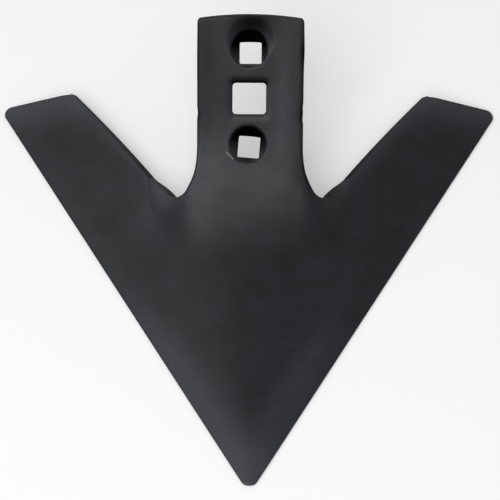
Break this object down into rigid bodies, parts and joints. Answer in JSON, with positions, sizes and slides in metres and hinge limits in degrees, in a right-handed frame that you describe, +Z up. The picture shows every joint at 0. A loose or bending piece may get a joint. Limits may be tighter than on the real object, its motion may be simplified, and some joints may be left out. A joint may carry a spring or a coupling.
{
  "type": "cultivator sweep",
  "caption": "One-piece steel cultivator sweep: broad V blade with swept wings, bent up into a flat stem with square bolt holes.",
  "frame": {"origin": "on the ground, under the middle of the sweep's box", "axes": "+X across the wings, to the right seen from the point; +Y from the point back to the stem; +Z up"},
  "size_m": [0.3048, 0.2676, 0.1075],
  "materials": {
    "black_lacquered_steel": "black lacquer, semi-gloss, over hot-formed spring steel"
  },
  "bodies": {
    "root": {"sweep": "black_lacquered_steel"}
  },
  "joints": []
}
